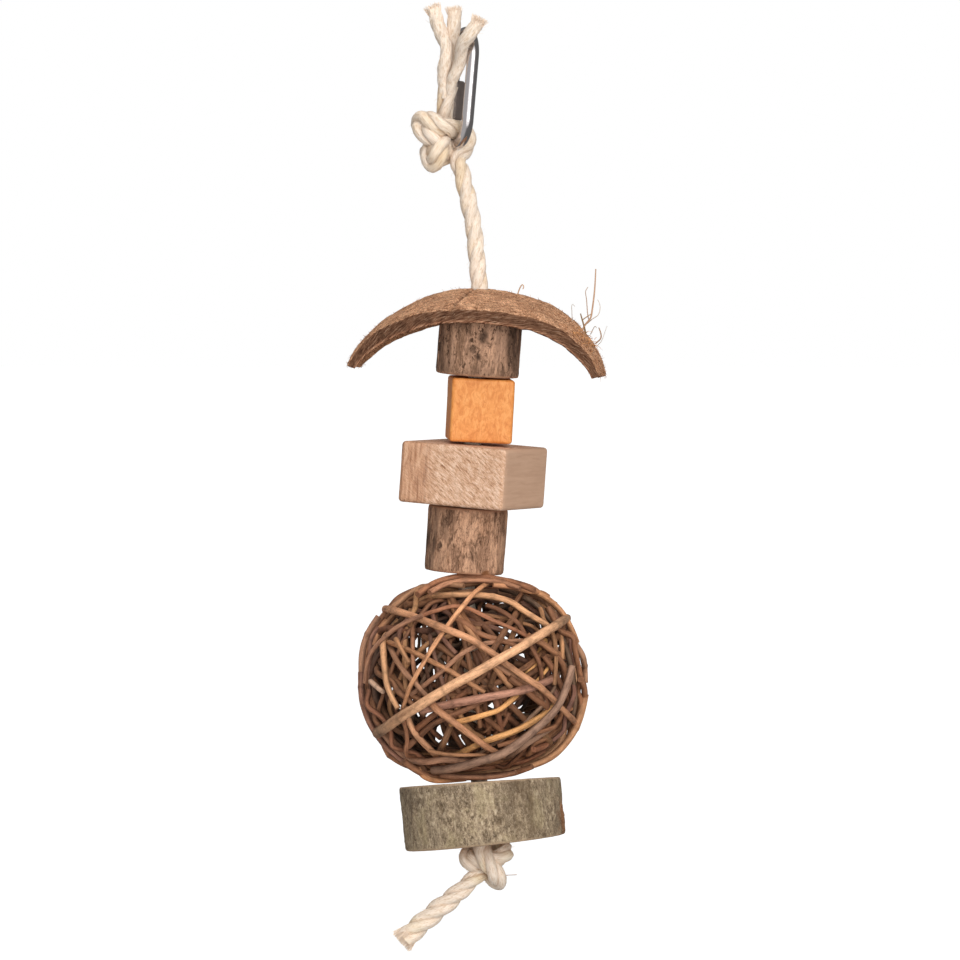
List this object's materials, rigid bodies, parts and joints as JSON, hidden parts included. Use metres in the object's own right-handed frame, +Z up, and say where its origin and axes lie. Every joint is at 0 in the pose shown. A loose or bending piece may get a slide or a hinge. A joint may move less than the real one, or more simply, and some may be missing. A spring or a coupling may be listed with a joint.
{
  "type": "hanging bird toy",
  "caption": "Hanging bird toy: a quick link and knotted sisal rope carry a coconut husk arch, wood beads, a woven willow ball and a bark-edged slice that turn freely.",
  "frame": {"origin": "inside of the quick link's top bend, the point that rests on whatever the toy hangs from", "axes": "+Z up along the hanging toy, +X to the right of the front view, front faces -Y"},
  "size_m": [0.0864, 0.0765, 0.3145],
  "materials": {
    "link_steel": "bright plated steel wire",
    "nut_steel": "plated steel sleeve nut, slightly dull",
    "sisal": "pale three-strand sisal rope with loose fibres",
    "husk": "fibrous brown coconut husk, matt",
    "bark": "thin brown bark with knots, matt",
    "orange_wood": "orange stained pine, matt",
    "sawn_wood": "rough-sawn tan wood, matt",
    "slice_bark": "grey-brown mottled bark, sawn end faces",
    "willow": "peeled and unpeeled willow rods, tan to mauve-brown"
  },
  "bodies": {
    "quick_link": {"quick_link_wire": "link_steel", "top_knot": "sisal", "rope_top_tail": "sisal", "rope_strand_left": "sisal", "rope_strand_middle": "sisal", "rope_strand_right": "sisal"},
    "link_nut": {"quick_link_nut": "nut_steel"},
    "rope_upper": {"rope_upper": "sisal"},
    "rope": {"rope_core": "sisal", "bottom_knot": "sisal", "bottom_tail": "sisal"},
    "husk": {"husk_arch": "husk"},
    "log_upper": {"log_upper": "bark"},
    "cube": {"orange_cube": "orange_wood"},
    "block": {"wood_block": "sawn_wood"},
    "log_lower": {"log_lower": "bark"},
    "ball": {"willow_rod_01": "willow", "willow_rod_02": "willow", "willow_rod_03": "willow", "willow_rod_04": "willow", "willow_rod_05": "willow", "willow_rod_06": "willow", "willow_rod_07": "willow", "willow_rod_08": "willow", "willow_rod_09": "willow", "willow_rod_10": "willow", "willow_rod_11": "willow", "willow_rod_12": "willow", "willow_rod_13": "willow", "willow_rod_14": "willow", "willow_rod_15": "willow", "willow_rod_16": "willow", "willow_rod_17": "willow", "willow_rod_18": "willow", "willow_rod_19": "willow", "willow_rod_20": "willow", "willow_rod_21": "willow", "willow_rod_22": "willow", "willow_rod_23": "willow", "willow_rod_24": "willow", "willow_rod_25": "willow", "willow_rod_26": "willow", "willow_rod_27": "willow", "willow_rod_28": "willow", "willow_rod_29": "willow", "willow_rod_30": "willow", "willow_rod_31": "willow", "willow_rod_32": "willow", "willow_rod_33": "willow", "willow_rod_34": "willow", "willow_rod_35": "willow", "willow_rod_36": "willow", "willow_rod_37": "willow", "willow_rod_38": "willow", "willow_rod_39": "willow", "willow_rod_40": "willow", "willow_rod_41": "willow", "willow_rod_42": "willow"},
    "slice": {"bark_slice": "slice_bark"}
  },
  "joints": [
    {"name": "nut_slide", "type": "slide", "parent": "quick_link", "child": "link_nut", "axis": [0.0837, 0, 0.9965], "range_m": [0, 0.0062]},
    {"name": "rope_side_swing", "type": "hinge", "parent": "quick_link", "child": "rope_upper", "pos_m": [-0.00133, 0, -0.04501], "axis": [0, 1, 0], "range_deg": [-35, 35]},
    {"name": "rope_front_swing", "type": "hinge", "parent": "rope_upper", "child": "rope", "pos_m": [0.00203, -0.00065, -0.06], "axis": [1, 0, 0], "range_deg": [-35, 35]},
    {"name": "husk_slide", "type": "slide", "parent": "rope", "child": "husk", "axis": [-0.088, 0.0508, 0.9948], "range_m": [0, 0.02]},
    {"name": "log_upper_spin", "type": "hinge", "parent": "rope", "child": "log_upper", "pos_m": [0.00447, -0.00143, -0.10153], "axis": [0.0749, -0.0349, 0.9966], "continuous": true},
    {"name": "cube_spin", "type": "hinge", "parent": "rope", "child": "cube", "pos_m": [0.00283, -0.00066, -0.12348], "axis": [0.0523, -0.0349, 0.998], "continuous": true},
    {"name": "block_spin", "type": "hinge", "parent": "rope", "child": "block", "pos_m": [0.00147, 0.0001, -0.14517], "axis": [0.0697, -0.0349, 0.997], "continuous": true},
    {"name": "log_lower_spin", "type": "hinge", "parent": "rope", "child": "log_lower", "pos_m": [0.00003, 0.00085, -0.16679], "axis": [0.0715, -0.0349, 0.9968], "continuous": true},
    {"name": "ball_spin", "type": "hinge", "parent": "rope", "child": "ball", "pos_m": [0.00227, 0.00062, -0.21309], "axis": [-0.0697, 0.0175, 0.9974], "continuous": true},
    {"name": "slice_spin", "type": "hinge", "parent": "rope", "child": "slice", "pos_m": [0.00543, -0.00014, -0.25785], "axis": [-0.108, 0.0175, 0.994], "continuous": true}
  ]
}
